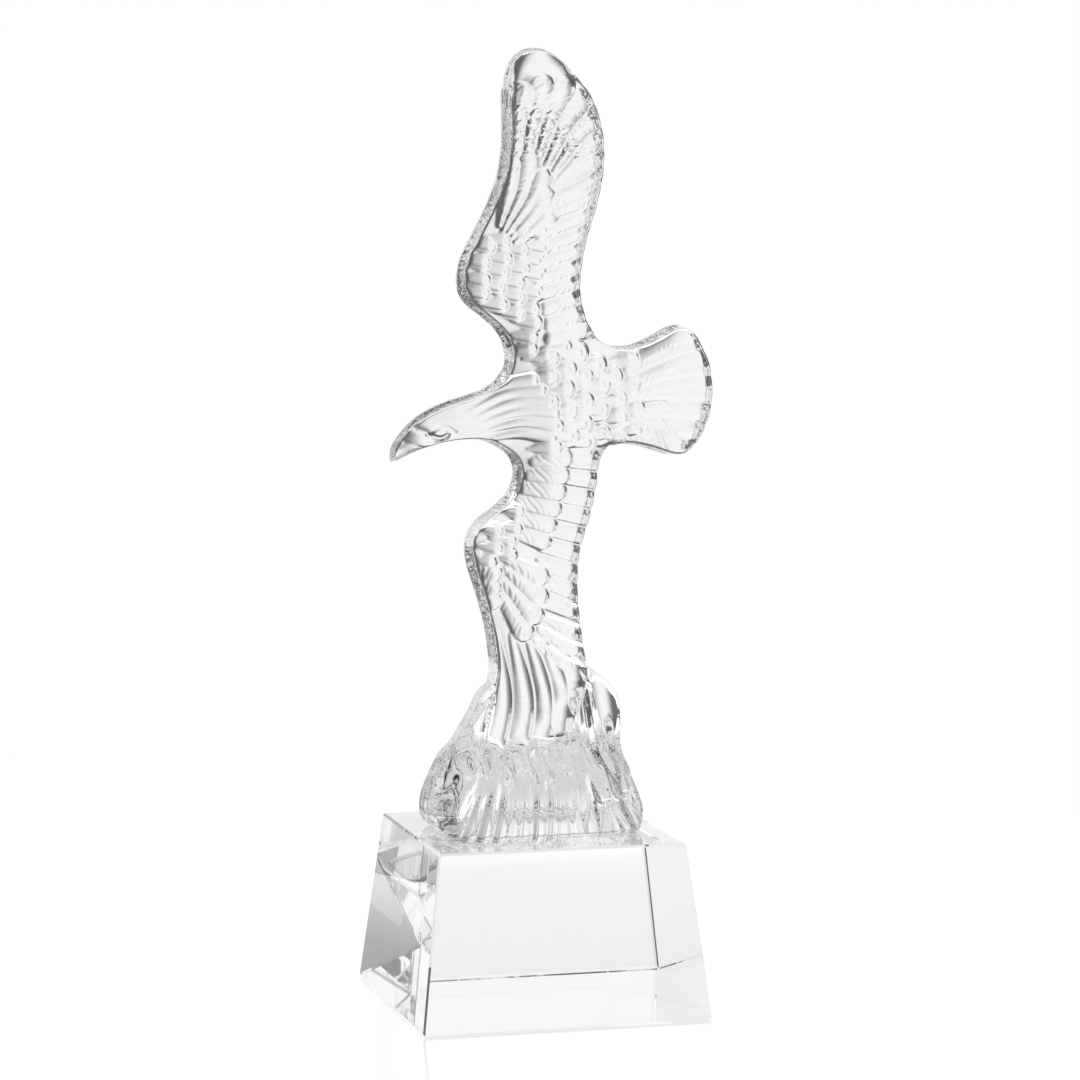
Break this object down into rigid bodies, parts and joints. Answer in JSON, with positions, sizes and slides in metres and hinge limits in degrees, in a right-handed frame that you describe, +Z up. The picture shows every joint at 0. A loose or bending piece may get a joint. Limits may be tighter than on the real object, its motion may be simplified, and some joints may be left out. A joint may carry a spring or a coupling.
{
  "type": "glass eagle figurine",
  "caption": "Clear glass eagle with spread wings held upright, its lower wing tip sunk in a rough glass mound, on a tapered square block of clear glass.",
  "frame": {"origin": "centre of the block's underside, on the surface that it stands on", "axes": "+Z up, the block's front face and the carved front of the eagle towards -Y, the eagle's head towards -X and its tail towards +X"},
  "size_m": [0.102, 0.0898, 0.2927],
  "materials": {
    "base_glass": "clear, polished flat faces",
    "eagle_glass": "clear, fire-polished pressed relief"
  },
  "bodies": {
    "root": {"base_block": "base_glass", "eagle": "eagle_glass"}
  },
  "joints": []
}
